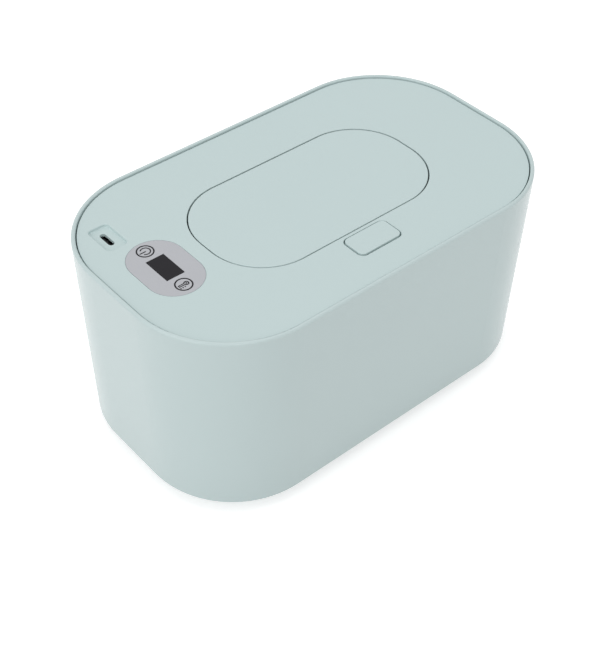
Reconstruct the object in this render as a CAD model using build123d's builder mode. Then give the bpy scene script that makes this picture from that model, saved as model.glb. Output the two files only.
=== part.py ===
from build123d import *
from math import atan, degrees, radians, tan
import os

# Table-top baby wipe warmer, millimetres. +Z is up, the origin is on the table under the
# middle of the case. +X runs along the case, away from the controls; the push button is on
# the -Y side and the flip lid is hinged along the +Y side.

# ---------------------------------------------------------------- driving dimensions
# Case
overall_length = 200.0
overall_width = 120.0
overall_height = 100.0
corner_radius = 45.1            # plan radius at the rim
draft_angle = 1.37              # the case narrows towards the table
shell_wall = 2.4
shell_floor = 2.2
lip_thickness = 1.85            # the wall is thinner beside the lid
rim_rounding = 1.15
lip_inner_rounding = 0.65
base_rounding = 1.2
inner_base_rounding = 2.0

# Stand under the case
foot_height = 2.0
foot_seat = 1.0                 # depth of the pocket that holds a foot
foot_diameter = 14.0
foot_rounding = 0.8
foot_end_inset, foot_side_inset = 34.0, 29.0
pedestal_height = 4.0
pedestal_inset = 10.0
pedestal_rounding = 1.2

# Ribs that carry the wipe tub
rib_thickness = 1.6
rib_depth = 3.5
rib_pitch = 20.0
long_side_ribs = 5
end_ribs = 2

# Wipe tub and its insulation
tub_gap = 7.1                   # from the case wall to the tub wall
tub_wall = 1.8
tub_floor = 2.0
tub_bottom_rounding = 6.0
tub_flange = 2.0
tub_flange_play = 0.3
pad_thickness = 6.0
sleeve_thickness = 3.0
sleeve_play = 0.3
tub_boss_diameter = 7.0
tub_screw_end_inset, tub_screw_side_inset = 52.0, 34.0
tub_screw_core = 2.5
tub_screw_hole = 3.4
tub_screw_head = 6.0
tub_screw_head_height = 1.9
tub_screw_length = 6.0
screw_pocket_diameter = 6.8
screw_pocket_depth = 2.6
screw_cup_wall = 1.7

# Lid
lid_seam = 0.45                 # open gap between the rim and the lid
lid_drop = 1.0                  # the lid lies this far below the rim
panel_wall = 2.0
skirt_wall = 2.0
panel_rounding = 0.25
skirt_play = 0.2
base_wall = 1.8
base_floor = 2.0
plug_gap = 0.8                  # from the tub wall to the lid's plug
seal_width = 3.0
seal_inset = 3.0
seal_groove = 0.8
seal_play = 0.05
seal_proud = 0.3
seal_clearance = 0.3

# Flip lid
flip_end_margin = 45.0          # from the rim's outside to the middle of the flip lid's seam
flip_side_margin = 30.4
flip_side_straight = 7.54       # straight part of each end
flip_seam = 0.6                 # open gap round the flip lid
flip_thickness = 2.4
flip_rounding = 0.35
bevel_start = 0.5               # the edge is bevelled below this depth
bevel_width = 1.05
liner_inset = 3.5
liner_thickness = 2.2
well_wall = 1.6
well_floor = 2.0
collar_end_margin, collar_side_margin = 10.0, 10.6      # inside the flip lid's seam
collar_side_straight = 1.0
collar_wall = 2.0
flip_seal_width = 3.6
flip_seal_height = 2.5
flip_seal_groove = 0.8
flip_seal_clearance = 0.3

# Hinge of the flip lid
pivot_back = 5.0                # behind the middle of its seam
pivot_depth = 4.2               # below the lid's top
hinge_spacing = 42.0            # between the middles of the hinge pockets
pocket_width = 12.6
pocket_wall = 1.6
arm_thickness = 2.2
arm_width = 6.0
arm_drop = 6.7                  # from the pin to the middle of the arm's lowest run
arm_reach = 8.1
arm_lean = 0.2
arm_bend = 2.5
arm_floor_gap = 0.7
boss_radius = 2.0
pin_radius = 1.0
pin_clearance = 0.05
pocket_back_gap = 0.9
spring_wire = 0.5
spring_radius = 1.6
spring_turns = 3.75
spring_gap = 0.85               # from the arm to the first turn
spring_space = 0.15
spring_leg = 5.0
stub_radius = 0.5               # stub on the arm that the spring's leg pushes
stub_length = 1.0
stub_drop = 4.0
stub_gap = 0.05
arm_side_gap = 0.3

# Push button and latch
button_length = 22.55           # along the middle of its seam
button_width = 12.44
button_radius = 2.84
button_gap = 2.02               # between the middles of the two seams
button_seam = 0.65
button_proud = 0.55
button_rounding = 0.3
button_travel = 2.0
button_cap = 3.85
button_flange_side = 2.0
button_flange_front = 1.4
guide_play = 0.3
guide_wall = 1.5
slider_thickness = 1.8
slider_length = 13.0
slider_overlap = 1.0            # of the slider under each guide wall
slider_play = 0.2
tongue_width = 11.0
catch_overlap = 1.0
catch_gap = 0.4
catch_wall_gap = 0.8            # from the catch's nose to the wall of the well
catch_width = 9.0
catch_nose_height = 2.2
hook_thickness = 1.5
ramp_height = 2.2
ramp_land = 1.2                 # flat top of each ramp
ramp_setback = 2.4              # from the slider's front edge
tongue_lead_in = 0.6
wedge_width = 2.0
wedge_spacing = 9.0
wedge_clearance = 0.15
wedge_side_play = 0.7
wedge_depth = 1.8               # from the ramp's foot to the back of the wedge
wedge_drop = 1.2                # the wedge starts this far below the ramp's top
window_margin = 0.2
window_span = 5.4
latch_wire = 0.4
latch_spring_radius = 1.5
latch_spring_length = 6.0
latch_spring_turns = 5
peg_radius = 0.9
peg_length = 1.5
stop_wall = 1.6
stop_width = 8.0
rail_width = 2.0

# Controls
overlay_end_inset, overlay_y = 25.5, 0.3
overlay_length, overlay_width = 36.2, 24.2
overlay_thickness = 0.4
overlay_play = 0.15
window_y = 0.5
window_length, window_width = 14.1, 8.4
window_play = 0.1
display_length, display_width = 18.0, 12.0
key_y = (13.35, -12.2)
key_spring_radius = 2.8
key_spring_wire = 0.6
key_spring_turns = 3
board_length, board_width = 62.0, 27.0
board_y = 7.0
board_edge_inset = 7.5
board_thickness = 1.6
board_underside_gap = 1.0
board_boss_diameter = 5.0
board_screw_core = 1.8
board_screw_hole = 2.2
board_screw_head = 4.0
board_screw_head_height = 1.2
board_screw_length = 7.0
board_screw_offsets = [(-8.5, -21.0), (10.5, -27.0), (10.5, 27.0), (-8.5, 7.5)]      # from the board's middle

# Power inlet
usb_end_inset, usb_side_inset = 18.6, 29.4
usb_recess_shift = 0.1, -0.35   # from the socket's middle
usb_recess_length, usb_recess_width = 15.9, 9.4
usb_recess_radius = 2.0
usb_recess_rounding = 0.6
usb_recess_depth = 1.5
usb_web = 1.2
usb_wall = 1.4
usb_shell_length, usb_shell_width = 8.94, 3.16
usb_shell_wall = 0.3
usb_mouth_play = 0.15
usb_height = 6.5
usb_play = 0.1
tongue_length, tongue_thick = 6.69, 0.7
tongue_short = 0.6

# Heater under the lid
heater_play = 0.4
plate_thickness = 1.5
plate_rounding = 0.5
plate_proud = 0.4
film_thickness = 0.5
film_inset = 6.0
film_play = 0.5
felt_thickness = 2.0
mouth_margin = 3.0              # opening through the lid's floor, inside the collar's outline
mouth_wall = 2.0
mouth_play = 1.5
plate_screw_core = 2.0
plate_screw_hole = 2.7
plate_screw_head = 5.0
plate_screw_length = 5.0
plate_boss_diameter = 6.0
plate_end_screw_inset, plate_end_screw_y = 30.0, 18.0       # clear of the wires between them
plate_side_screw_inset = 66.0, 29.0         # from the ends and the sides of the case
lid_screw_core = 2.5
lid_screw_hole = 3.0
lid_screw_head = 5.6
lid_screw_head_height = 1.7
lid_screw_length = 8.0
lid_boss_diameter = 6.4
lid_corner_screw_inset = 26.0, 28.0
lid_back_screw_inset = 50.0, 19.0
lid_front_screw_gap, lid_front_screw_inset = 9.7, 18.5      # from the latch's guides and the side

# Wipe outlet
throat_margin = 5.0             # inside the collar's outline
flap_thickness = 1.2
flap_play = 0.2
flap_hole_end_margin, flap_hole_side_margin = 17.0, 6.5     # inside the throat
flap_slit_length, flap_slit_width = 4.0, 1.2
flap_slits, flap_slit_pitch = 3, 12.0
ring_height = 2.0
ring_width = 2.8

# Wiring
lead_diameter = 1.4
lead_pitch = 2.0
lead_edge_gap = 2.0             # from the board's edge to the middle of the wires
lead_bend = 1.8
lead_reach = 6.0                # from the drop to the wire's end
plug_edge_gap = 0.5
heater_lead_y, sensor_lead_y = -9.0, 9.0
lead_rise = 2.0
plug_length, plug_width, plug_height = 5.0, 6.0, 4.0
fuse_diameter, fuse_length = 1.8, 9.0
sensor_length, sensor_width, sensor_rounding = 5.0, 4.2, 0.8
pad_length = 3.0
chip_shift = -1.0, 17.0         # from the board's middle
chip_size, chip_height = 7.0, 1.0
inductor_shift = 8.5, 17.0
inductor_size, inductor_height, inductor_rounding = 5.0, 3.0, 1.0
display_gap = 0.3
usb_base = 1.0

# ---------------------------------------------------------------- heights and places
shell_base = foot_height + pedestal_height
lid_top = overall_height - lid_drop
panel_under = lid_top - panel_wall
usb_floor = lid_top - usb_recess_depth
usb_top = usb_floor - usb_web - usb_play
board_top = usb_top - usb_height
board_under = board_top - board_thickness
flange_top = board_under - board_underside_gap
flange_under = flange_top - base_wall
seal_bottom = flange_under - seal_proud
tub_top = seal_bottom - seal_clearance
rib_top = tub_top - tub_flange
pedestal_floor = foot_height + shell_floor
tub_under = pedestal_floor + pad_thickness
tub_inset = shell_wall + tub_gap
plug_inset = tub_inset + tub_wall + plug_gap
lid_inset = lip_thickness + lid_seam
cup_top = foot_height + screw_pocket_depth + shell_floor

flip_length = overall_length - 2 * flip_end_margin
flip_width = overall_width - 2 * flip_side_margin
flip_radius = (flip_width - flip_side_straight) / 2
collar_length = flip_length - 2 * collar_end_margin
collar_width = flip_width - 2 * collar_side_margin
collar_radius = (collar_width - collar_side_straight) / 2
mouth_length = collar_length - 2 * mouth_margin
mouth_width = collar_width - 2 * mouth_margin
throat_length = collar_length - 2 * throat_margin
throat_width = collar_width - 2 * throat_margin
flap_hole_length = throat_length - 2 * flap_hole_end_margin
flap_hole_width = throat_width - 2 * flap_hole_side_margin
button_y = -(flip_width / 2 + button_gap + button_width / 2)
overlay_x = overlay_end_inset - overall_length / 2
usb_x = usb_end_inset - overall_length / 2
usb_y = overall_width / 2 - usb_side_inset

pivot_y = flip_width / 2 + pivot_back
pivot_z = lid_top - pivot_depth
flip_under = lid_top - flip_thickness
liner_under = flip_under - liner_thickness
arm_bottom = pivot_z - arm_drop - arm_thickness / 2
well_bottom = arm_bottom - arm_floor_gap
base_top = well_bottom - well_floor
base_under = base_top - base_floor
felt_under = base_under - felt_thickness
film_under = felt_under - film_thickness
plate_under = film_under - plate_thickness
plug_bottom = plate_under + plate_proud
heater_inset = plug_inset + base_wall + heater_play
heater_mouth_length = mouth_length + 2 * (mouth_wall + mouth_play)
heater_mouth_width = mouth_width + 2 * (mouth_wall + mouth_play)
plug_end = overlay_x + board_width / 2 - plug_edge_gap
lead_x = overlay_x + board_width / 2 + lead_edge_gap
lead_top = board_top + lead_rise
lead_z = felt_under + fuse_diameter / 2
lead_end = lead_x - lead_reach
lead_slot = 2 * lead_pitch + lead_diameter
flip_seal_top = liner_under + flip_seal_groove
flip_seal_bottom = flip_seal_top - flip_seal_height
collar_top = flip_seal_bottom - flip_seal_clearance
flap_top = well_bottom + flap_thickness
pocket_back = pivot_y + boss_radius + pocket_back_gap

well_front = -(flip_width + flip_seam) / 2
nose_y = well_front + catch_wall_gap
tongue_y = nose_y + catch_overlap
nose_bottom = well_bottom + catch_wall_gap
nose_top = nose_bottom + catch_nose_height
slider_under = nose_top + slider_play
slider_top = slider_under + slider_thickness
button_top = lid_top + button_proud
cap_under = button_top - button_cap
guide_x = button_length / 2 + button_flange_side + guide_play
guide_front = button_y - button_width / 2 - button_flange_front - guide_play
button_back = button_y + (button_width - button_seam) / 2
slider_front = well_front - well_wall - button_travel + guide_play - slider_length
slider_half = guide_x + slider_overlap
ramp_top = slider_top + ramp_height
ramp_front = slider_front + ramp_setback
ramp_foot = ramp_front + ramp_land + ramp_height
wedge_tip = ramp_top - wedge_drop
wedge_back = ramp_foot + wedge_depth
hook_front = tongue_y + catch_gap
bevel_angle = degrees(atan(bevel_width / (flip_thickness - bevel_start)))
spring_end = slider_front - latch_spring_length
spring_axis = slider_under + slider_thickness / 2

os.makedirs("parts", exist_ok=True)


# ---------------------------------------------------------------- shared shapes
def case_outline(height, inset):
    """Plan outline of the case at a height, drawn a distance inside its outer face."""
    shrink = inset + (overall_height - height) * tan(radians(draft_angle))
    RectangleRounded(overall_length - 2 * shrink, overall_width - 2 * shrink, corner_radius - shrink)


def case_block(low, high, inset, mode=Mode.ADD):
    """Block that follows the drafted case wall between two heights."""
    with BuildSketch(Plane.XY.offset(high)) as plan:
        case_outline(high, inset)
    extrude(plan.sketch, amount=low - high, taper=draft_angle, mode=mode)


def rounded_block(low, high, length, width, radius, center=(0, 0), mode=Mode.ADD):
    """Upright block with a rounded rectangular plan; the largest radius makes round ends."""
    with BuildSketch(Plane.XY.offset(low)) as plan:
        with Locations(center):
            RectangleRounded(length, width, min(radius, length / 2 - 0.01, width / 2 - 0.01))
    extrude(plan.sketch, amount=high - low, mode=mode)


def flip_block(low, high, grow, mode=Mode.ADD):
    """Block on the flip lid's outline, offset from the middle of its seam."""
    rounded_block(low, high, flip_length + 2 * grow, flip_width + 2 * grow, flip_radius + grow, mode=mode)


def box(x0, x1, y0, y1, z0, z1, mode=Mode.ADD):
    """Plain block between six planes."""
    with BuildSketch(Plane.XY.offset(z0)) as plan:
        with Locations(((x0 + x1) / 2, (y0 + y1) / 2)):
            Rectangle(x1 - x0, y1 - y0)
    extrude(plan.sketch, amount=z1 - z0, mode=mode)


def posts(places, diameter, low, high, mode=Mode.ADD):
    """Round posts or holes at several places, between two heights."""
    with BuildSketch(Plane.XY.offset(low)) as plan:
        with Locations(*places):
            Circle(diameter / 2)
    extrude(plan.sketch, amount=high - low, mode=mode)


def profile_block(points, x0, x1, mode=Mode.ADD):
    """Profile given as (y, z) points, carried along X."""
    with BuildSketch(Plane.YZ.offset(x0)) as side:
        with BuildLine():
            Polyline(*points, close=True)
        make_face()
    extrude(side.sketch, amount=x1 - x0, mode=mode)


def pan_screws(places, under_head, core, length, head, head_height):
    """Pan-head screws that point up, each with a cross recess in its head."""
    posts(places, core, under_head, under_head + length)
    posts(places, head, under_head - head_height, under_head)
    lowest = faces().group_by(Axis.Z)[0]
    fillet(lowest.edges(), head_height * 0.45)
    with BuildSketch(Plane.XY.offset(under_head - head_height)) as cross:
        with Locations(*places):
            Rectangle(head * 0.55, head * 0.14)
            Rectangle(head * 0.14, head * 0.55)
    extrude(cross.sketch, amount=head_height * 0.5, mode=Mode.SUBTRACT)


def quarters(end_inset, side_inset):
    """A place in each quarter of the case, counted in from its ends and sides."""
    x = overall_length / 2 - end_inset
    y = overall_width / 2 - side_inset
    return [(x, y), (-x, y), (-x, -y), (x, -y)]


def shifted(x, y):
    """A place on the control board, counted from its middle."""
    return overlay_x + x, board_y + y


def save(piece, label):
    piece.part.label = label
    export_step(piece.part, f"parts/{label}.step")


# ---------------------------------------------------------------- case
with BuildPart() as rib_band:
    case_block(shell_base + shell_floor / 2, rib_top, shell_wall / 2)
    case_block(shell_base, overall_height, shell_wall + rib_depth, mode=Mode.SUBTRACT)
    with BuildSketch(Plane.XY.offset(shell_base)):
        with GridLocations(rib_pitch, 0, long_side_ribs, 1):
            Rectangle(rib_thickness, overall_width)
        with GridLocations(0, rib_pitch, 1, end_ribs):
            Rectangle(overall_length, rib_thickness)
    extrude(amount=overall_height, mode=Mode.INTERSECT)

with BuildPart() as shell_cavity:
    case_block(shell_base + shell_floor, rib_top, shell_wall)
    fillet(faces().sort_by(Axis.Z)[0].edges(), inner_base_rounding)

foot_places = quarters(foot_end_inset, foot_side_inset)
tub_screw_places = quarters(tub_screw_end_inset, tub_screw_side_inset)

with BuildPart() as outer_shell:
    case_block(shell_base, overall_height, 0)
    fillet(faces().sort_by(Axis.Z)[0].edges(), base_rounding)
    add(shell_cavity.part, mode=Mode.SUBTRACT)
    case_block(rib_top, overall_height, lip_thickness, mode=Mode.SUBTRACT)
    rim = faces().sort_by(Axis.Z)[-1]
    fillet(rim.outer_wire().edges(), rim_rounding)
    rim = faces().filter_by(GeomType.PLANE).sort_by(Axis.Z)[-1]
    fillet(rim.inner_wires()[0].edges(), lip_inner_rounding)
    add(rib_band.part)
    # sunk floor that stands the case off the table
    case_block(foot_height, shell_base, pedestal_inset)
    fillet(faces().sort_by(Axis.Z)[0].edges(), pedestal_rounding)
    case_block(pedestal_floor, shell_base + shell_floor, pedestal_inset + shell_floor, mode=Mode.SUBTRACT)
    foot_cup_diameter = foot_diameter + 2 * screw_cup_wall
    posts(foot_places, foot_cup_diameter, foot_height + foot_seat, pedestal_floor + foot_seat)
    posts(foot_places, foot_diameter, foot_height, foot_height + foot_seat, mode=Mode.SUBTRACT)
    cup_diameter = screw_pocket_diameter + 2 * screw_cup_wall
    posts(tub_screw_places, cup_diameter, foot_height + screw_pocket_depth / 2, cup_top)
    pocket_top = foot_height + screw_pocket_depth
    posts(tub_screw_places, screw_pocket_diameter, foot_height, pocket_top, mode=Mode.SUBTRACT)
    posts(tub_screw_places, tub_screw_hole, foot_height, cup_top, mode=Mode.SUBTRACT)
save(outer_shell, "outer_shell")

with BuildPart() as rubber_feet:
    posts(foot_places, foot_diameter, 0, foot_height + foot_seat)
    fillet(faces().group_by(Axis.Z)[0].edges(), foot_rounding)
save(rubber_feet, "rubber_feet")

with BuildPart() as tub_cavity:
    case_block(tub_under + tub_floor, tub_top, tub_inset + tub_wall)
    fillet(faces().sort_by(Axis.Z)[0].edges(), tub_bottom_rounding - tub_wall)

with BuildPart() as inner_tub:
    case_block(tub_under, tub_top, tub_inset)
    fillet(faces().sort_by(Axis.Z)[0].edges(), tub_bottom_rounding)
    case_block(rib_top, tub_top, lip_thickness + tub_flange_play)
    add(tub_cavity.part, mode=Mode.SUBTRACT)
    posts(tub_screw_places, tub_boss_diameter, cup_top, tub_under)
    posts(tub_screw_places, tub_screw_core, cup_top, tub_under + tub_floor / 2, mode=Mode.SUBTRACT)
save(inner_tub, "inner_tub")

with BuildPart() as insulation_sleeve:
    case_block(shell_base + shell_floor, rib_top - sleeve_play, tub_inset - sleeve_play - sleeve_thickness)
    case_block(shell_base, rib_top, tub_inset - sleeve_play, mode=Mode.SUBTRACT)
save(insulation_sleeve, "insulation_sleeve")

with BuildPart() as insulation_pad:
    case_block(pedestal_floor, tub_under, pedestal_inset + shell_floor + sleeve_play)
    posts(tub_screw_places, cup_diameter + 2 * sleeve_play, pedestal_floor, tub_under, mode=Mode.SUBTRACT)
    posts(foot_places, foot_cup_diameter + 2 * sleeve_play, pedestal_floor,
          pedestal_floor + foot_seat + sleeve_play, mode=Mode.SUBTRACT)
save(insulation_pad, "insulation_pad")

with BuildPart() as tub_screws:
    pan_screws(tub_screw_places, foot_height + screw_pocket_depth, tub_screw_core, tub_screw_length,
               tub_screw_head, tub_screw_head_height)
save(tub_screws, "tub_screws")

# ---------------------------------------------------------------- lid cover
hinge_places = (-hinge_spacing / 2, hinge_spacing / 2)
lid_back_y = overall_width / 2 - lid_back_screw_inset[1]
lid_front_x = slider_half + slider_play + guide_wall + lid_front_screw_gap
lid_front_y = lid_front_screw_inset - overall_width / 2
plate_end_x = overall_length / 2 - plate_end_screw_inset
# the left back corner holds the power inlet, so it has no screw
lid_screws = [*quarters(*lid_corner_screw_inset)[:1], *quarters(*lid_corner_screw_inset)[2:],
              *quarters(*lid_back_screw_inset)[:2], (0, lid_back_y),
              (-lid_front_x, lid_front_y), (lid_front_x, lid_front_y)]
plate_screws = [(x, y) for x in (-plate_end_x, plate_end_x) for y in (-plate_end_screw_y, plate_end_screw_y)]
plate_screws += quarters(*plate_side_screw_inset)
board_screws = [shifted(*offset) for offset in board_screw_offsets]
usb_recess_place = usb_x + usb_recess_shift[0], usb_y + usb_recess_shift[1]

with BuildPart() as lid_inside:
    case_block(tub_top, panel_under, lid_inset + skirt_wall)

with BuildPart() as flip_well:
    flip_block(base_top, panel_under, flip_seam / 2 + well_wall)
    for x in hinge_places:
        outside = pocket_width / 2 + pocket_wall
        box(x - outside, x + outside, 0, pocket_back + pocket_wall, base_top, panel_under)

with BuildPart() as button_guide:
    box(-guide_x - guide_wall, guide_x + guide_wall, guide_front - guide_wall, button_back + flip_seam,
        slider_top + slider_play, panel_under)
    box(-guide_x, guide_x, guide_front, 0, slider_top, panel_under, mode=Mode.SUBTRACT)
    box(-guide_x + guide_wall, guide_x - guide_wall, guide_front - 2 * guide_wall, 0, slider_top,
        ramp_top + slider_play, mode=Mode.SUBTRACT)

with BuildPart() as usb_recess:
    rounded_block(usb_floor, lid_top, usb_recess_width, usb_recess_length, usb_recess_radius,
                  usb_recess_place)
    fillet(faces().sort_by(Axis.Z)[0].edges(), usb_recess_rounding)

with BuildPart() as top_panel:
    case_block(tub_top, lid_top, lid_inset)
    fillet(faces().sort_by(Axis.Z)[-1].edges(), panel_rounding)
    add(lid_inside.part, mode=Mode.SUBTRACT)
    add(flip_well.part)
    add(button_guide.part)
    posts(lid_screws, lid_boss_diameter, base_top, panel_under)
    posts(board_screws, board_boss_diameter, board_top, panel_under)
    # sunk pocket for the power inlet
    rounded_block(usb_floor - usb_web, panel_under, usb_recess_width + 2 * usb_wall,
                  usb_recess_length + 2 * usb_wall, usb_recess_radius + usb_wall, usb_recess_place)
    add(usb_recess.part, mode=Mode.SUBTRACT)
    recess_rim = edges().filter_by_position(Axis.Z, lid_top - slider_play / 2, lid_top + slider_play / 2)
    recess_rim = recess_rim.filter_by(lambda edge: (edge.center() - Vector(*usb_recess_place, lid_top)).length
                                      < usb_recess_length)
    fillet(recess_rim, usb_recess_rounding)
    rounded_block(usb_floor - usb_web, usb_floor, usb_shell_width - 2 * usb_shell_wall + usb_mouth_play,
                  usb_shell_length - 2 * usb_shell_wall + usb_mouth_play, overall_width,
                  (usb_x, usb_y), mode=Mode.SUBTRACT)
    # shallow seat of the control overlay and the hole for its window
    rounded_block(lid_top - overlay_thickness, lid_top, overlay_width + 2 * overlay_play,
                  overlay_length + 2 * overlay_play, overall_width, (overlay_x, overlay_y),
                  mode=Mode.SUBTRACT)
    box(overlay_x - window_width / 2 - window_play, overlay_x + window_width / 2 + window_play,
        window_y - window_length / 2 - window_play, window_y + window_length / 2 + window_play,
        panel_under, lid_top, mode=Mode.SUBTRACT)
    # well under the flip lid, with a pocket behind it for each hinge arm
    flip_block(well_bottom, lid_top, flip_seam / 2, mode=Mode.SUBTRACT)
    for x in hinge_places:
        box(x - pocket_width / 2, x + pocket_width / 2, 0, pocket_back, well_bottom, panel_under,
            mode=Mode.SUBTRACT)
    rounded_block(well_bottom, collar_top, collar_length, collar_width, collar_radius)
    rounded_block(well_bottom, collar_top, collar_length - 2 * collar_wall, collar_width - 2 * collar_wall,
                  collar_radius - collar_wall, mode=Mode.SUBTRACT)
    rounded_block(base_top, well_bottom, throat_length, throat_width, throat_width, mode=Mode.SUBTRACT)
    # holes for the hinge pins, the latch tongue and the button
    for x in hinge_places:
        with BuildSketch(Plane.YZ.offset(x - pocket_width / 2 - pocket_wall)):
            with Locations((pivot_y, pivot_z)):
                Circle(pin_radius)
        extrude(amount=pocket_width + 2 * pocket_wall, mode=Mode.SUBTRACT)
    box(-tongue_width / 2 - slider_play, tongue_width / 2 + slider_play, well_front - well_wall, well_front,
        slider_under - slider_play, slider_top + slider_play, mode=Mode.SUBTRACT)
    rounded_block(panel_under, lid_top, button_length + button_seam, button_width + button_seam,
                  button_radius + button_seam / 2, (0, button_y), mode=Mode.SUBTRACT)
    posts(lid_screws, lid_screw_core, base_top, base_top + lid_screw_length, mode=Mode.SUBTRACT)
    posts(board_screws, board_screw_core, board_top, panel_under, mode=Mode.SUBTRACT)
save(top_panel, "top_panel")

# ---------------------------------------------------------------- lid base and seal
with BuildPart() as lid_base_inside:
    case_block(base_top, flange_top, plug_inset + base_wall)

with BuildPart() as seal_channel:
    seal_outer = lid_inset + skirt_wall + seal_inset
    case_block(flange_under, flange_under + seal_groove, seal_outer)
    case_block(flange_under, flange_under + seal_groove, seal_outer + seal_width, mode=Mode.SUBTRACT)

with BuildPart() as lid_base:
    case_block(flange_under, flange_top, lid_inset + skirt_wall + skirt_play)
    case_block(plug_bottom, flange_top, plug_inset)
    add(lid_base_inside.part, mode=Mode.SUBTRACT)
    case_block(plug_bottom, base_under, plug_inset + base_wall, mode=Mode.SUBTRACT)
    add(seal_channel.part, mode=Mode.SUBTRACT)
    rounded_block(plug_bottom, base_under, mouth_length + 2 * mouth_wall, mouth_width + 2 * mouth_wall,
                  overall_width)
    rounded_block(plug_bottom, base_top, mouth_length, mouth_width, overall_width, mode=Mode.SUBTRACT)
    posts(plate_screws, plate_boss_diameter, film_under, base_under)
    posts(plate_screws, plate_screw_core, film_under, base_under + base_floor / 2, mode=Mode.SUBTRACT)
    posts(lid_screws, lid_screw_hole, base_under, base_top, mode=Mode.SUBTRACT)
    # slots for the wires that go down to the heater
    for y in (heater_lead_y, sensor_lead_y):
        box(lead_x - lead_diameter, lead_x + lead_diameter, y - lead_slot / 2, y + lead_slot / 2,
            base_under, base_top, mode=Mode.SUBTRACT)
    # rails, side guides and spring stop of the latch
    rail_front = -(overall_width / 2 - plug_inset - base_wall / 2)
    rail_back = well_front - well_wall - slider_play
    guide_low = slider_half + slider_play
    for low in (-slider_half, slider_half - rail_width):
        box(low, low + rail_width, rail_front, rail_back, base_top, slider_under)
    for low in (-guide_low - guide_wall, guide_low):
        box(low, low + guide_wall, rail_front, rail_back, base_top, slider_top)
    box(-stop_width / 2, stop_width / 2, spring_end - stop_wall, spring_end, flange_under + seal_groove,
        spring_axis + 2 * latch_spring_radius)
    with BuildSketch(Plane.XZ.offset(-spring_end)):
        with Locations((0, spring_axis)):
            Circle(peg_radius)
    extrude(amount=-peg_length)
save(lid_base, "lid_base")

with BuildPart() as lid_seal:
    seal_inner = seal_outer + seal_width - seal_play
    case_block(seal_bottom, flange_under + seal_groove, seal_outer + seal_play)
    case_block(seal_bottom, flange_under + seal_groove, seal_inner, mode=Mode.SUBTRACT)
save(lid_seal, "lid_seal")

with BuildPart() as lid_fasteners:
    pan_screws(lid_screws, base_under, lid_screw_core, lid_screw_length, lid_screw_head,
               lid_screw_head_height)
save(lid_fasteners, "lid_screws")

# ---------------------------------------------------------------- heater
with BuildPart() as heat_plate:
    case_block(plate_under, film_under, heater_inset)
    rounded_block(plate_under, film_under, heater_mouth_length, heater_mouth_width, overall_width,
                  mode=Mode.SUBTRACT)
    fillet(faces().sort_by(Axis.Z)[0].edges(), plate_rounding)
    with Locations(*[Location((x, y, plate_under), (180, 0, 0)) for x, y in plate_screws]):
        CounterSinkHole(plate_screw_hole / 2, plate_screw_head / 2, plate_thickness, 90)
save(heat_plate, "heat_plate")

with BuildPart() as heating_film:
    case_block(film_under, felt_under, heater_inset + film_inset)
    rounded_block(film_under, felt_under, heater_mouth_length + film_inset, heater_mouth_width + film_inset,
                  overall_width, mode=Mode.SUBTRACT)
    posts(plate_screws, plate_boss_diameter + 2 * film_play, film_under, felt_under, mode=Mode.SUBTRACT)
    # the temperature sensor lies on the bare plate, the second heater wire ends on a solder pad
    sensor_side = sensor_width / 2 + film_play
    box(lead_end - sensor_length - film_play, lead_end + film_play, sensor_lead_y - sensor_side,
        sensor_lead_y + sensor_side, film_under, felt_under, mode=Mode.SUBTRACT)
    pad_y = heater_lead_y + lead_pitch / 2
    box(lead_end - pad_length, lead_end, pad_y - lead_diameter / 2, pad_y + lead_diameter / 2, film_under,
        lead_z + lead_diameter / 2)
save(heating_film, "heating_film")

with BuildPart() as heater_felt:
    case_block(felt_under, base_under, heater_inset)
    rounded_block(felt_under, base_under, heater_mouth_length, heater_mouth_width, overall_width,
                  mode=Mode.SUBTRACT)
    posts(plate_screws, plate_boss_diameter + 2 * film_play, felt_under, base_under, mode=Mode.SUBTRACT)
    posts(lid_screws, lid_screw_head + 2 * film_play, felt_under, base_under, mode=Mode.SUBTRACT)
    for y in (heater_lead_y, sensor_lead_y):
        box(lead_end - fuse_length - film_play, lead_x + lead_diameter, y - lead_slot / 2, y + lead_slot / 2,
            felt_under, base_under, mode=Mode.SUBTRACT)
save(heater_felt, "heater_felt")

with BuildPart() as plate_fasteners:
    head_drop = (plate_screw_head - plate_screw_core) / 2
    posts(plate_screws, plate_screw_core, plate_under + head_drop, plate_under + plate_screw_length)
    for x, y in plate_screws:
        with BuildSketch(Plane.XZ.offset(-y)):
            with BuildLine():
                Polyline((x, plate_under), (x + plate_screw_head / 2, plate_under),
                         (x + plate_screw_core / 2, plate_under + head_drop),
                         (x, plate_under + head_drop), close=True)
            make_face()
        revolve(axis=Axis((x, y, 0), (0, 0, 1)))
save(plate_fasteners, "plate_screws")

with BuildPart() as thermal_fuse:
    with BuildSketch(Plane.YZ.offset(lead_end)):
        with Locations((heater_lead_y - lead_pitch / 2, lead_z)):
            Circle(fuse_diameter / 2)
    extrude(amount=-fuse_length)
    chamfer(edges().filter_by(GeomType.CIRCLE), fuse_diameter / 8)
save(thermal_fuse, "thermal_fuse")

with BuildPart() as temperature_sensor:
    box(lead_end - sensor_length, lead_end, sensor_lead_y - sensor_width / 2,
        sensor_lead_y + sensor_width / 2, film_under, lead_z + lead_diameter / 2)
    fillet(edges().filter_by(Axis.Z), sensor_rounding)
save(temperature_sensor, "temperature_sensor")


def lead_pair(y):
    """Two wires from a plug on the board, down past its edge and along the heater."""
    for side in (-1, 1):
        lead_y = y + side * lead_pitch / 2
        with BuildLine() as route:
            FilletPolyline((plug_end, lead_y, lead_top), (lead_x, lead_y, lead_top), (lead_x, lead_y, lead_z),
                           (lead_end, lead_y, lead_z), radius=lead_bend)
        with BuildSketch(Plane(origin=(plug_end, lead_y, lead_top), z_dir=(1, 0, 0))) as section:
            Circle(lead_diameter / 2)
        sweep(section.sketch, path=route.line)


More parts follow.
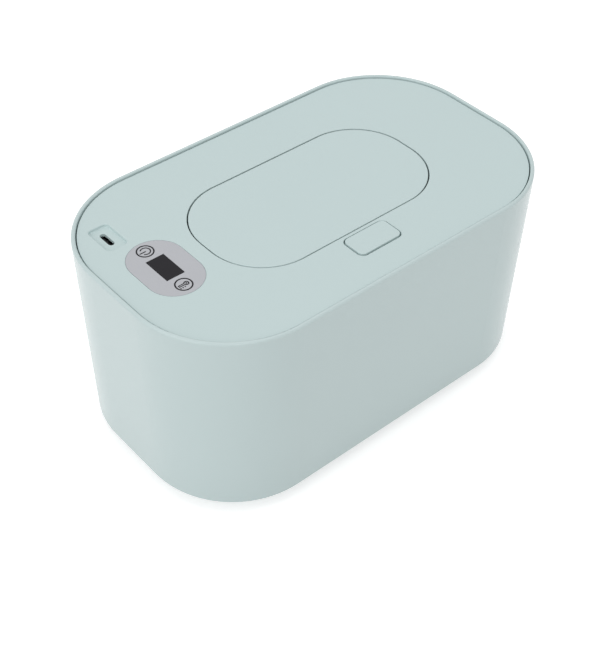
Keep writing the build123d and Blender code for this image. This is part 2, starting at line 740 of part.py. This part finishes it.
with BuildPart() as heater_leads:
    lead_pair(heater_lead_y)
save(heater_leads, "heater_leads")

with BuildPart() as sensor_leads:
    lead_pair(sensor_lead_y)
save(sensor_leads, "sensor_leads")

# ---------------------------------------------------------------- wipe outlet
with BuildPart() as dispenser_flap:
    inside = collar_wall + flap_play
    rounded_block(well_bottom, flap_top, collar_length - 2 * inside, collar_width - 2 * inside,
                  collar_radius - inside)
    rounded_block(well_bottom, flap_top, flap_hole_length, flap_hole_width, overall_width, mode=Mode.SUBTRACT)
    # slits let the lips give way round the wipe
    with BuildSketch(Plane.XY.offset(well_bottom)):
        with GridLocations(flap_slit_pitch, flap_hole_width, flap_slits, 2):
            Rectangle(flap_slit_width, 2 * flap_slit_length)
        with GridLocations(flap_hole_length, 0, 2, 1):
            Rectangle(2 * flap_slit_length, flap_slit_width)
    extrude(amount=flap_thickness, mode=Mode.SUBTRACT)
save(dispenser_flap, "dispenser_flap")

with BuildPart() as dispenser_ring:
    rounded_block(flap_top, flap_top + ring_height, collar_length - 2 * inside, collar_width - 2 * inside,
                  collar_radius - inside)
    opening = inside + ring_width
    rounded_block(flap_top, flap_top + ring_height, collar_length - 2 * opening, collar_width - 2 * opening,
                  collar_radius - opening, mode=Mode.SUBTRACT)
    chamfer(faces().sort_by(Axis.Z)[-1].inner_wires()[0].edges(), ring_height / 2)
save(dispenser_ring, "dispenser_ring")

# ---------------------------------------------------------------- controls
with BuildPart() as control_board:
    with BuildSketch(Plane.XY.offset(board_under)):
        case_outline(board_top, board_edge_inset)
        with Locations((overlay_x, board_y)):
            Rectangle(board_width, board_length, mode=Mode.INTERSECT)
    extrude(amount=board_thickness)
    posts(board_screws, board_screw_hole, board_under, board_top, mode=Mode.SUBTRACT)
save(control_board, "control_board")

with BuildPart() as board_fasteners:
    pan_screws(board_screws, board_under, board_screw_core, board_screw_length, board_screw_head,
               board_screw_head_height)
save(board_fasteners, "board_screws")

with BuildPart() as controller_chip:
    with BuildSketch(Plane.XY.offset(board_top)):
        with Locations(shifted(*chip_shift)):
            Rectangle(chip_size, chip_size)
    extrude(amount=chip_height)
save(controller_chip, "controller_chip")

with BuildPart() as power_inductor:
    with BuildSketch(Plane.XY.offset(board_top)):
        with Locations(shifted(*inductor_shift)):
            RectangleRounded(inductor_size, inductor_size, inductor_rounding)
    extrude(amount=inductor_height)
save(power_inductor, "power_inductor")

with BuildPart() as wire_plugs:
    for y in (heater_lead_y, sensor_lead_y):
        box(plug_end - plug_length, plug_end, y - plug_width / 2, y + plug_width / 2, board_top,
            board_top + plug_height)
save(wire_plugs, "wire_plugs")

with BuildPart() as display_module:
    box(overlay_x - display_width / 2, overlay_x + display_width / 2, window_y - display_length / 2,
        window_y + display_length / 2, board_top, panel_under - display_gap)
save(display_module, "display_module")

with BuildPart() as display_window:
    box(overlay_x - window_width / 2, overlay_x + window_width / 2, window_y - window_length / 2,
        window_y + window_length / 2, panel_under - display_gap, lid_top)
save(display_window, "display_window")

with BuildPart() as control_overlay:
    rounded_block(lid_top - overlay_thickness, lid_top, overlay_width, overlay_length, overall_width,
                  (overlay_x, overlay_y))
    box(overlay_x - window_width / 2 - window_play, overlay_x + window_width / 2 + window_play,
        window_y - window_length / 2 - window_play, window_y + window_length / 2 + window_play,
        lid_top - overlay_thickness, lid_top, mode=Mode.SUBTRACT)
save(control_overlay, "control_overlay")

with BuildPart() as usb_shell:
    rounded_block(board_top, usb_top, usb_shell_width, usb_shell_length, overall_width, (usb_x, usb_y))
    rounded_block(board_top + usb_base, usb_top, usb_shell_width - 2 * usb_shell_wall,
                  usb_shell_length - 2 * usb_shell_wall, overall_width, (usb_x, usb_y), mode=Mode.SUBTRACT)
save(usb_shell, "usb_shell")

with BuildPart() as usb_tongue:
    with BuildSketch(Plane.XY.offset(board_top + usb_base)):
        with Locations((usb_x, usb_y)):
            Rectangle(tongue_thick, tongue_length)
    extrude(amount=usb_height - usb_base - tongue_short)
save(usb_tongue, "usb_tongue")


def coil(radius, wire, pitch, turns):
    """Coil spring along +Z, whose wire starts on +X."""
    with BuildPart() as spring:
        with BuildLine() as winding:
            Helix(pitch, pitch * turns, radius)
        with BuildSketch(Plane(origin=winding.line @ 0, z_dir=winding.line % 0)):
            Circle(wire / 2)
        sweep(path=winding.line, is_frenet=True)
    return spring.part


key_coil_height = panel_under - board_top - key_spring_wire
key_coil = coil(key_spring_radius, key_spring_wire, key_coil_height / key_spring_turns, key_spring_turns)
with BuildPart() as key_springs:
    with Locations(*[(overlay_x, y, board_top + key_spring_wire / 2) for y in key_y]):
        add(key_coil)
save(key_springs, "key_springs")

# ---------------------------------------------------------------- hinge and latch
with BuildPart() as hinge_pins:
    for x in hinge_places:
        with BuildSketch(Plane.YZ.offset(x - pocket_width / 2 - pocket_wall)):
            with Locations((pivot_y, pivot_z)):
                Circle(pin_radius)
        extrude(amount=pocket_width + 2 * pocket_wall)
save(hinge_pins, "hinge_pins")

arm_low = hinge_spacing / 2 - pocket_width / 2 + arm_side_gap
arm_high = arm_low + arm_width
coil_low = arm_high + spring_gap
coil_pitch = spring_wire + spring_space
coil_length = coil_pitch * spring_turns
rest_leg = pocket_back - pivot_y - slider_play
hinge_frame = Plane(origin=(coil_low, pivot_y, pivot_z), x_dir=(0, 1, 0), z_dir=(1, 0, 0))

with BuildPart() as hinge_spring:
    with BuildLine() as spring_route:
        winding = Helix(coil_pitch, coil_length, spring_radius)
        Line(winding @ 0 - spring_leg * (winding % 0), winding @ 0)
        Line(winding @ 1, winding @ 1 + rest_leg * (winding % 1))
    leg_plane = Plane(origin=winding @ 0 - spring_leg * (winding % 0), z_dir=winding % 0)
    with BuildSketch(leg_plane):
        Circle(spring_wire / 2)
    sweep(path=spring_route.wire())

with BuildPart() as torsion_springs:
    add(hinge_frame.location * hinge_spring.part)
    mirror(about=Plane.YZ)
save(torsion_springs, "torsion_springs")

latch_frame = Plane(origin=(0, slider_front - latch_wire / 2, spring_axis), x_dir=(1, 0, 0), z_dir=(0, -1, 0))
latch_coil = coil(latch_spring_radius, latch_wire, (latch_spring_length - latch_wire) / latch_spring_turns,
                  latch_spring_turns)
with BuildPart() as latch_spring:
    add(latch_frame.location * latch_coil)
save(latch_spring, "latch_spring")

with BuildPart() as latch_slider:
    box(-slider_half, slider_half, slider_front, slider_front + slider_length, slider_under, slider_top)
    box(-tongue_width / 2, tongue_width / 2, slider_front, tongue_y, slider_under, slider_top)
    window_start = ramp_foot - window_margin
    window_half = wedge_spacing / 2 + wedge_width / 2 + wedge_side_play
    box(-window_half, window_half, window_start, window_start + window_span, slider_under, slider_top,
        mode=Mode.SUBTRACT)
    ramp = [(ramp_front, slider_top), (ramp_front, ramp_top), (ramp_foot - ramp_height, ramp_top),
            (ramp_foot, slider_top)]
    for x in (-wedge_spacing / 2, wedge_spacing / 2):
        profile_block(ramp, x - wedge_width / 2, x + wedge_width / 2)
    with BuildSketch(Plane.XZ.offset(-slider_front)):
        with Locations((0, spring_axis)):
            Circle(peg_radius)
    extrude(amount=peg_length)
    # lead-in that lets the catch push the tongue back as the lid shuts
    tip = edges().filter_by(Axis.X).filter_by_position(Axis.Y, tongue_y - 0.01, tongue_y + 0.01)
    chamfer(tip.sort_by(Axis.Z)[-1], tongue_lead_in)
save(latch_slider, "latch_slider")

with BuildPart() as push_button:
    rounded_block(cap_under, button_top, button_length - button_seam, button_width - button_seam,
                  button_radius - button_seam / 2, (0, button_y))
    fillet(faces().sort_by(Axis.Z)[-1].edges(), button_rounding)
    box(-button_length / 2 - button_flange_side, button_length / 2 + button_flange_side,
        button_y - button_width / 2 - button_flange_front, button_back, cap_under, panel_under)
    wedge_line = ramp_foot + slider_top + wedge_clearance
    wedge = [(wedge_line - wedge_tip, wedge_tip), (wedge_line - cap_under, cap_under),
             (wedge_back, cap_under), (wedge_back, wedge_tip)]
    for x in (-wedge_spacing / 2, wedge_spacing / 2):
        profile_block(wedge, x - wedge_width / 2, x + wedge_width / 2)
save(push_button, "push_button")

# ---------------------------------------------------------------- flip lid
with BuildPart() as flip_cover:
    with BuildSketch(Plane.XY.offset(lid_top - bevel_start)):
        RectangleRounded(flip_length - flip_seam, flip_width - flip_seam, flip_radius - flip_seam / 2)
    extrude(amount=bevel_start - flip_thickness, taper=bevel_angle)
    flip_block(lid_top - bevel_start, lid_top, -flip_seam / 2)
    fillet(faces().sort_by(Axis.Z)[-1].edges(), flip_rounding)
save(flip_cover, "flip_cover")

with BuildPart() as flip_liner:
    flip_block(liner_under, flip_under, -flip_seam / 2 - liner_inset)
    seal_length, seal_depth = collar_length - collar_wall, collar_width - collar_wall
    seal_radius = collar_radius - collar_wall / 2
    for grow, mode in ((flip_seal_width / 2, Mode.SUBTRACT), (-flip_seal_width / 2, Mode.ADD)):
        rounded_block(liner_under, flip_seal_top, seal_length + 2 * grow, seal_depth + 2 * grow,
                      seal_radius + grow, mode=mode)
    # hook that the latch tongue holds down
    hook = [(hook_front + hook_thickness, flip_under), (hook_front, flip_under), (hook_front, nose_top),
            (nose_y, nose_top), (nose_y, nose_top - catch_nose_height / 3), (hook_front, nose_bottom),
            (hook_front + hook_thickness, nose_bottom)]
    profile_block(hook, -catch_width / 2, catch_width / 2)
    hook_root = hook_front + 2 * hook_thickness
    box(-catch_width / 2, catch_width / 2, hook_front, hook_root, liner_under, flip_under)
    # swan-neck arms that reach under the edge of the well to the hinge pins
    for low in (arm_low, -arm_high):
        with BuildSketch(Plane.YZ.offset(low)):
            with BuildLine():
                FilletPolyline((pivot_y + arm_lean, pivot_z), (pivot_y + arm_lean, pivot_z - arm_drop),
                               (pivot_y - arm_reach, pivot_z - arm_drop), (pivot_y - arm_reach, flip_under),
                               radius=arm_bend)
            trace(line_width=arm_thickness)
            with Locations((pivot_y, pivot_z)):
                Circle(boss_radius)
                Circle(pin_radius + pin_clearance, mode=Mode.SUBTRACT)
        extrude(amount=arm_width)
    stub_y = pivot_y + spring_radius - spring_wire / 2 - stub_radius - stub_gap
    for low in (arm_high, -arm_high - stub_length):
        with BuildSketch(Plane.YZ.offset(low)):
            with Locations((stub_y, pivot_z - stub_drop)):
                Circle(stub_radius)
        extrude(amount=stub_length)
save(flip_liner, "flip_liner")

with BuildPart() as flip_seal:
    for grow, mode in ((flip_seal_width / 2, Mode.ADD), (-flip_seal_width / 2, Mode.SUBTRACT)):
        rounded_block(flip_seal_bottom, flip_seal_top, seal_length + 2 * grow - 2 * seal_play * (grow > 0),
                      seal_depth + 2 * grow, seal_radius + grow, mode=mode)
save(flip_seal, "flip_seal")
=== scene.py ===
import bpy
from math import cos, pi, radians, sin
from mathutils import Matrix, Vector


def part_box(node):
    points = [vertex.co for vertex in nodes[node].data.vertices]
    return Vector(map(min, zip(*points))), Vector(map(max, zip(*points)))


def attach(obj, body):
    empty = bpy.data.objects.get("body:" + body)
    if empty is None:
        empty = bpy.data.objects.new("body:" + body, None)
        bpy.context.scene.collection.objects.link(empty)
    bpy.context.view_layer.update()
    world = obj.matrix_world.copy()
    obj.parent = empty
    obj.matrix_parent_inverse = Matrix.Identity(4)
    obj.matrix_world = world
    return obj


# A table-top baby wipe warmer: the frame's solids get moulded, metal, rubber, foam and printed
# finishes, and the fine outer details are modelled here. Metres, +Z up.

MM = 0.001

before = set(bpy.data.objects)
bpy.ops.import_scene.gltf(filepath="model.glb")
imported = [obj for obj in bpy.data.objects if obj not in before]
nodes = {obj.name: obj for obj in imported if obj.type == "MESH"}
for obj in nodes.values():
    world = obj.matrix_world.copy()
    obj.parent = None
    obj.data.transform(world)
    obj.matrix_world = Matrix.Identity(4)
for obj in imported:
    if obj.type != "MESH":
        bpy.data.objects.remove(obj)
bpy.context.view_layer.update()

scene = bpy.context.scene

# ---------------------------------------------------------------- view, light and floor
VIEW_AZIMUTH = radians(-41.059)
VIEW_HEIGHT = radians(43.217)
VIEW_ROLL = radians(0.885)
VIEW_DISTANCE = 525.626 * MM
VIEW_TARGET = Vector((-25.555, -23.741, 56.0)) * MM
LENS = 69.07

PAPER_WHITE = (1.0, 1.0, 1.0)
ROOM_STRENGTH = 0.62        # light of the white room, which looks fully white itself
FLOOR_GLOW = 0.49           # lifts the floor to white for the camera and leaves the shadow


def set_camera():
    """Puts the camera in front of the case's left corner, looking down."""
    level = cos(VIEW_HEIGHT)
    back = Vector((sin(VIEW_AZIMUTH) * level, -cos(VIEW_AZIMUTH) * level, sin(VIEW_HEIGHT)))
    right = Vector((0, 0, 1)).cross(back).normalized()
    up = back.cross(right)
    turned_right = right * cos(VIEW_ROLL) + up * sin(VIEW_ROLL)
    turned_up = up * cos(VIEW_ROLL) - right * sin(VIEW_ROLL)
    place = VIEW_TARGET + back * VIEW_DISTANCE
    axes = Matrix((turned_right, turned_up, back)).transposed().to_4x4()
    bpy.ops.object.camera_add()
    camera = bpy.context.object
    camera.matrix_world = Matrix.Translation(place) @ axes
    camera.data.lens = LENS
    camera.data.clip_start = 0.01
    scene.camera = camera


def soft_box(name, place, aim, width, power):
    """Square studio light that faces a point."""
    bpy.ops.object.light_add(type="AREA", location=place)
    lamp = bpy.context.object
    lamp.name = name
    lamp.data.size = width
    lamp.data.energy = power
    lamp.rotation_euler = (Vector(place) - Vector(aim)).to_track_quat("Z", "Y").to_euler()


def add_shader(tree, kind, place=(0, 0), **sockets):
    """New node with some of its sockets set."""
    node = tree.nodes.new(kind)
    node.location = place
    for name, value in sockets.items():
        node.inputs[name.replace("_", " ")].default_value = value
    return node


def white_for_camera(tree, lit_strength, seen_strength):
    """Strength that is higher for what the camera sees, straight or by gloss or glass, than for light."""
    path = tree.nodes.new("ShaderNodeLightPath")
    seen = path.outputs["Is Camera Ray"]
    for ray in ("Is Transmission Ray", "Is Glossy Ray"):
        either = tree.nodes.new("ShaderNodeMath")
        either.operation = "MAXIMUM"
        tree.links.new(seen, either.inputs[0])
        tree.links.new(path.outputs[ray], either.inputs[1])
        seen = either.outputs[0]
    blend = tree.nodes.new("ShaderNodeMapRange")
    blend.inputs["To Min"].default_value = lit_strength
    blend.inputs["To Max"].default_value = seen_strength
    tree.links.new(seen, blend.inputs["Value"])
    return blend.outputs[0]


def set_studio():
    """Plain white room with soft light from the upper left."""
    world = bpy.data.worlds.new("white_room")
    scene.world = world
    world.use_nodes = True
    background = world.node_tree.nodes["Background"]
    background.inputs["Color"].default_value = (*PAPER_WHITE, 1)
    seen_strength = white_for_camera(world.node_tree, ROOM_STRENGTH, 1.0)
    world.node_tree.links.new(seen_strength, background.inputs["Strength"])
    soft_box("left_light", (-1.7, -0.2, 1.1), (0, 0, 0.05), 1.8, 10.5)
    soft_box("top_light", (0.3, 0.2, 1.7), (0, 0, 0.05), 1.6, 6)
    soft_box("front_light", (0.7, -1.9, 0.35), (0, 0, 0.04), 1.2, 0.7)
    soft_box("rim_light", (-0.75, -1.35, 1.3), (0, 0, 0.09), 0.35, 2.4)

    bpy.ops.mesh.primitive_plane_add(size=12)
    floor = bpy.context.object
    floor.name = "floor"
    paper = bpy.data.materials.new("white_floor")
    paper.use_nodes = True
    tree = paper.node_tree
    tree.nodes.clear()
    matt = add_shader(tree, "ShaderNodeBsdfDiffuse", (0, 100), Color=(0.82, 0.82, 0.82, 1))
    glow = add_shader(tree, "ShaderNodeEmission", (0, -100), Color=(*PAPER_WHITE, 1))
    tree.links.new(white_for_camera(tree, 0.0, FLOOR_GLOW), glow.inputs["Strength"])
    both = tree.nodes.new("ShaderNodeAddShader")
    out = tree.nodes.new("ShaderNodeOutputMaterial")
    tree.links.new(matt.outputs[0], both.inputs[0])
    tree.links.new(glow.outputs[0], both.inputs[1])
    tree.links.new(both.outputs[0], out.inputs["Surface"])
    floor.data.materials.append(paper)


# ---------------------------------------------------------------- finishes
def linear(red, green, blue):
    """Shader colour from a colour in screen values, each well above black."""
    return tuple(((value / 255 + 0.055) / 1.055) ** 2.4 for value in (red, green, blue))


def finish(name, colour, variation=0.03, patch=0.03, grain=0.0006, relief=0.02 * MM, gloss=0.4,
           gloss_spread=0.06, **sockets):
    """Surface with faint colour patches, fine grain in its relief and uneven gloss."""
    material = bpy.data.materials.new(name)
    material.use_nodes = True
    tree = material.node_tree
    surface = tree.nodes["Principled BSDF"]
    for socket, value in sockets.items():
        surface.inputs[socket.replace("_", " ")].default_value = value
    places = tree.nodes.new("ShaderNodeTexCoord").outputs["Object"]

    patches = add_shader(tree, "ShaderNodeTexNoise", (-700, 200), Scale=1 / patch, Detail=3.0,
                         Roughness=0.5)
    tree.links.new(places, patches.inputs["Vector"])
    tint = tree.nodes.new("ShaderNodeMix")
    tint.data_type = "RGBA"
    tint.inputs["A"].default_value = (*[c * (1 - variation) for c in colour], 1)
    tint.inputs["B"].default_value = (*[min(1, c * (1 + variation)) for c in colour], 1)
    tree.links.new(patches.outputs["Fac"], tint.inputs["Factor"])
    tree.links.new(tint.outputs["Result"], surface.inputs["Base Color"])

    fine = add_shader(tree, "ShaderNodeTexNoise", (-700, -200), Scale=1 / grain, Detail=4.0, Roughness=0.6)
    tree.links.new(places, fine.inputs["Vector"])
    uneven = tree.nodes.new("ShaderNodeMapRange")
    uneven.inputs["To Min"].default_value = gloss - gloss_spread
    uneven.inputs["To Max"].default_value = gloss + gloss_spread
    tree.links.new(patches.outputs["Fac"], uneven.inputs["Value"])
    tree.links.new(uneven.outputs[0], surface.inputs["Roughness"])
    bump = add_shader(tree, "ShaderNodeBump", (-300, -300), Strength=0.5, Distance=relief)
    tree.links.new(fine.outputs["Fac"], bump.inputs["Height"])
    tree.links.new(bump.outputs[0], surface.inputs["Normal"])
    return material


def brushed(name, colour, along, gloss=0.32):
    """Metal with fine drawn lines along one axis."""
    material = bpy.data.materials.new(name)
    material.use_nodes = True
    tree = material.node_tree
    surface = tree.nodes["Principled BSDF"]
    surface.inputs["Metallic"].default_value = 1.0
    places = tree.nodes.new("ShaderNodeTexCoord").outputs["Object"]
    stretch = tree.nodes.new("ShaderNodeMapping")
    stretch.inputs["Scale"].default_value = [0.05 if axis == along else 1.0 for axis in "xyz"]
    tree.links.new(places, stretch.inputs["Vector"])
    lines = add_shader(tree, "ShaderNodeTexNoise", (-700, 0), Scale=5000.0, Detail=3.0)
    tree.links.new(stretch.outputs[0], lines.inputs["Vector"])
    shade = tree.nodes.new("ShaderNodeMix")
    shade.data_type = "RGBA"
    shade.inputs["A"].default_value = (*[c * 0.85 for c in colour], 1)
    shade.inputs["B"].default_value = (*[min(1, c * 1.1) for c in colour], 1)
    tree.links.new(lines.outputs["Fac"], shade.inputs["Factor"])
    tree.links.new(shade.outputs["Result"], surface.inputs["Base Color"])
    uneven = tree.nodes.new("ShaderNodeMapRange")
    uneven.inputs["To Min"].default_value = gloss - 0.08
    uneven.inputs["To Max"].default_value = gloss + 0.08
    tree.links.new(lines.outputs["Fac"], uneven.inputs["Value"])
    tree.links.new(uneven.outputs[0], surface.inputs["Roughness"])
    bump = add_shader(tree, "ShaderNodeBump", (-300, -300), Strength=0.3, Distance=0.01 * MM)
    tree.links.new(lines.outputs["Fac"], bump.inputs["Height"])
    tree.links.new(bump.outputs[0], surface.inputs["Normal"])
    return material


MINT = linear(195, 211, 211)
LID_MINT = linear(197, 214, 214)

finishes = {
    "mint_shell": finish("mint_shell", MINT, 0.012, 0.06, 0.00045, 0.012 * MM, 0.25, 0.03,
                         Specular_IOR_Level=0.46),
    "mint_lid": finish("mint_lid", LID_MINT, 0.012, 0.06, 0.00045, 0.012 * MM, 0.40, 0.04,
                       Specular_IOR_Level=0.34),
    "pale_inner": finish("pale_inner", linear(218, 226, 225), 0.015, 0.05, 0.0005, 0.015 * MM, 0.5, 0.05),
    "white_tub": finish("white_tub", linear(232, 235, 233), 0.012, 0.05, 0.0006, 0.01 * MM, 0.35, 0.05),
    "foam": finish("foam", linear(222, 220, 212), 0.08, 0.004, 0.0012, 0.25 * MM, 0.95, 0.03),
    "felt": finish("felt", linear(198, 192, 180), 0.12, 0.002, 0.0004, 0.2 * MM, 0.97, 0.02,
                   Sheen_Weight=0.4),
    "foot_rubber": finish("foot_rubber", linear(92, 96, 97), 0.06, 0.01, 0.0004, 0.03 * MM, 0.75, 0.06),
    "silicone": finish("silicone", linear(214, 222, 222), 0.02, 0.02, 0.0008, 0.01 * MM, 0.5, 0.06,
                       Subsurface_Weight=0.15, Subsurface_Radius=(0.001, 0.001, 0.001)),
    "screw_steel": brushed("screw_steel", (0.56, 0.57, 0.58), "z", 0.3),
    "spring_steel": brushed("spring_steel", (0.5, 0.5, 0.51), "x", 0.25),
    "socket_steel": brushed("socket_steel", (0.6, 0.61, 0.62), "z", 0.22),
    "plate_aluminium": brushed("plate_aluminium", (0.74, 0.75, 0.76), "x", 0.38),
    "amber_film": finish("amber_film", linear(196, 120, 40), 0.06, 0.01, 0.001, 0.01 * MM, 0.3, 0.05),
    "board_green": finish("board_green", linear(38, 98, 62), 0.12, 0.003, 0.0006, 0.02 * MM, 0.35, 0.06),
    "chip_black": finish("chip_black", linear(36, 36, 38), 0.08, 0.003, 0.0003, 0.02 * MM, 0.55, 0.06),
    "plug_white": finish("plug_white", linear(232, 230, 220), 0.02, 0.004, 0.0004, 0.02 * MM, 0.5, 0.05),
    "red_wire": finish("red_wire", linear(178, 42, 34), 0.05, 0.004, 0.0004, 0.01 * MM, 0.5, 0.06),
    "white_wire": finish("white_wire", linear(228, 226, 220), 0.03, 0.004, 0.0004, 0.01 * MM, 0.5, 0.06),
    "display_dark": finish("display_dark", linear(40, 40, 44), 0.05, 0.004, 0.0004, 0.01 * MM, 0.5, 0.06),
    "smoked_window": finish("smoked_window", linear(24, 23, 29), 0.08, 0.003, 0.0003, 0.002 * MM, 0.22,
                            0.04, Specular_IOR_Level=0.18),
    "grey_overlay": finish("grey_overlay", linear(184, 186, 191), 0.015, 0.01, 0.00022, 0.012 * MM, 0.45,
                           0.05, Specular_IOR_Level=0.4),
    "tongue_black": finish("tongue_black", linear(26, 26, 28), 0.06, 0.002, 0.0003, 0.01 * MM, 0.5, 0.06),
    "print_grey": finish("print_grey", linear(20, 20, 25), 0.05, 0.001, 0.0002, 0.004 * MM, 0.55, 0.05,
                         Specular_IOR_Level=0.2),
}

node_finishes = {
    "outer_shell": "mint_shell", "rubber_feet": "foot_rubber", "inner_tub": "white_tub",
    "insulation_sleeve": "foam", "insulation_pad": "foam", "tub_screws": "screw_steel",
    "top_panel": "mint_lid", "lid_base": "pale_inner", "lid_seal": "silicone", "lid_screws": "screw_steel",
    "heat_plate": "plate_aluminium", "heating_film": "amber_film", "heater_felt": "felt",
    "plate_screws": "screw_steel", "thermal_fuse": "socket_steel", "temperature_sensor": "chip_black",
    "heater_leads": "red_wire", "sensor_leads": "white_wire", "wire_plugs": "plug_white",
    "dispenser_flap": "silicone", "dispenser_ring": "mint_lid", "control_board": "board_green",
    "board_screws": "screw_steel", "controller_chip": "chip_black", "power_inductor": "chip_black",
    "display_module": "display_dark", "display_window": "smoked_window", "control_overlay": "grey_overlay",
    "key_springs": "spring_steel", "usb_shell": "socket_steel", "usb_tongue": "tongue_black",
    "hinge_pins": "spring_steel", "torsion_springs": "spring_steel", "latch_spring": "spring_steel",
    "latch_slider": "pale_inner", "push_button": "mint_lid", "flip_cover": "mint_lid",
    "flip_liner": "pale_inner", "flip_seal": "silicone",
}


def dress_nodes():
    """Gives each solid of the frame its finish."""
    for name, node in nodes.items():
        node.data.materials.clear()
        node.data.materials.append(finishes[node_finishes[name]])


# ---------------------------------------------------------------- printed key marks
PRINT_HEIGHT = 0.03 * MM
KEY_X = -74.9 * MM
POWER_Y = 13.35 * MM
HEAT_Y = -12.2 * MM
RING_RADIUS = 3.75 * MM
RING_LINE = 0.62 * MM
ICON_LINE = 0.52 * MM


def deselect():
    if bpy.context.object and bpy.context.object.mode != "OBJECT":
        bpy.ops.object.mode_set(mode="OBJECT")
    bpy.ops.object.select_all(action="DESELECT")


def ring(x, y, radius, line, z):
    """Flat ring, made as a disc with its middle taken out."""
    deselect()
    bpy.ops.mesh.primitive_circle_add(vertices=72, radius=radius, fill_type="NGON", location=(x, y, z))
    bpy.ops.object.mode_set(mode="EDIT")
    bpy.ops.mesh.select_all(action="SELECT")
    bpy.ops.mesh.inset(thickness=line, use_boundary=True)
    bpy.ops.mesh.delete(type="FACE")
    bpy.ops.object.mode_set(mode="OBJECT")
    return bpy.context.object


def disc(x, y, radius, z):
    deselect()
    bpy.ops.mesh.primitive_circle_add(vertices=32, radius=radius, fill_type="NGON", location=(x, y, z))
    bpy.ops.object.mode_set(mode="EDIT")
    bpy.ops.mesh.select_all(action="SELECT")
    bpy.ops.mesh.inset(thickness=radius / 2)
    bpy.ops.object.mode_set(mode="OBJECT")
    return bpy.context.object


def bar(start, end, line, z):
    """Flat bar between two points, with its ends bevelled round."""
    deselect()
    start, end = Vector((*start, z)), Vector((*end, z))
    run = end - start
    bpy.ops.mesh.primitive_plane_add(size=1, location=(0, 0, 0))
    bpy.ops.object.mode_set(mode="EDIT")
    bpy.ops.mesh.select_all(action="SELECT")
    bpy.ops.transform.resize(value=(run.length + line, line, 1))
    bpy.ops.mesh.bevel(offset=line * 0.49, segments=5, affect="VERTICES")
    bpy.ops.object.mode_set(mode="OBJECT")
    piece = bpy.context.object
    turn = Vector((1, 0, 0)).rotation_difference(run).to_matrix().to_4x4()
    piece.data.transform(Matrix.Translation((start + end) / 2) @ turn)
    return piece


def arc(x, y, radius, line, open_from, open_to, z):
    """Ring with a gap between two angles, counted from +X."""
    piece = ring(x, y, radius, line, z)
    mesh = piece.data
    bpy.ops.object.mode_set(mode="EDIT")
    bpy.ops.mesh.select_all(action="DESELECT")
    bpy.ops.object.mode_set(mode="OBJECT")
    for face in mesh.polygons:
        angle = Vector((1, 0)).angle_signed(face.center.xy) * -1 % (2 * pi)
        face.select = open_from <= angle <= open_to
    bpy.ops.object.mode_set(mode="EDIT")
    bpy.ops.mesh.delete(type="FACE")
    bpy.ops.object.mode_set(mode="OBJECT")
    return piece


def join(name, pieces, height):
    """Joins flat marks, thickens them upwards and moves their place into the mesh."""
    deselect()
    for piece in pieces:
        piece.select_set(True)
    bpy.context.view_layer.objects.active = pieces[0]
    bpy.ops.object.join()
    bpy.ops.object.transform_apply(location=True, rotation=True, scale=True)
    whole = bpy.context.object
    whole.name = name
    thick = whole.modifiers.new("thickness", "SOLIDIFY")
    thick.thickness = height
    thick.offset = 1
    bpy.ops.object.modifier_apply(modifier=thick.name)
    return whole


def print_keys():
    """Power sign and thermometer, each in a ring, printed beside the display."""
    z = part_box("control_overlay")[1][2]
    rings = [ring(KEY_X, y, RING_RADIUS, RING_LINE, z) for y in (POWER_Y, HEAT_Y)]
    power = [arc(KEY_X + 0.1 * MM, POWER_Y, 2.3 * MM, ICON_LINE, radians(140), radians(220), z),
             bar((KEY_X - 2.5 * MM, POWER_Y - 0.2 * MM), (KEY_X, POWER_Y - 0.2 * MM), ICON_LINE, z)]
    stem_low = KEY_X - 2.3 * MM
    stem_high = KEY_X + 0.4 * MM
    side = 0.38 * MM
    heat = [arc(KEY_X + 1.2 * MM, HEAT_Y, 1.2 * MM, ICON_LINE, radians(155), radians(205), z),
            disc(KEY_X + 1.2 * MM, HEAT_Y, 0.4 * MM, z),
            bar((stem_low, HEAT_Y + side), (stem_high, HEAT_Y + side), ICON_LINE * 0.8, z),
            bar((stem_low, HEAT_Y - side), (stem_high, HEAT_Y - side), ICON_LINE * 0.8, z),
            bar((stem_low, HEAT_Y - side), (stem_low, HEAT_Y + side), ICON_LINE * 0.8, z)]
    tick_low = HEAT_Y - 1.55 * MM
    tick_high = HEAT_Y - 1.15 * MM
    heat += [bar((KEY_X - step * MM, tick_low), (KEY_X - step * MM, tick_high), ICON_LINE * 0.8, z)
             for step in (0.3, 1.3, 2.3)]
    marks = join("key_marks", rings + power + heat, PRINT_HEIGHT)
    marks.data.materials.append(finishes["print_grey"])
    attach(marks, "lid")


set_camera()
set_studio()
dress_nodes()
print_keys()

scene.view_settings.view_transform = "Standard"
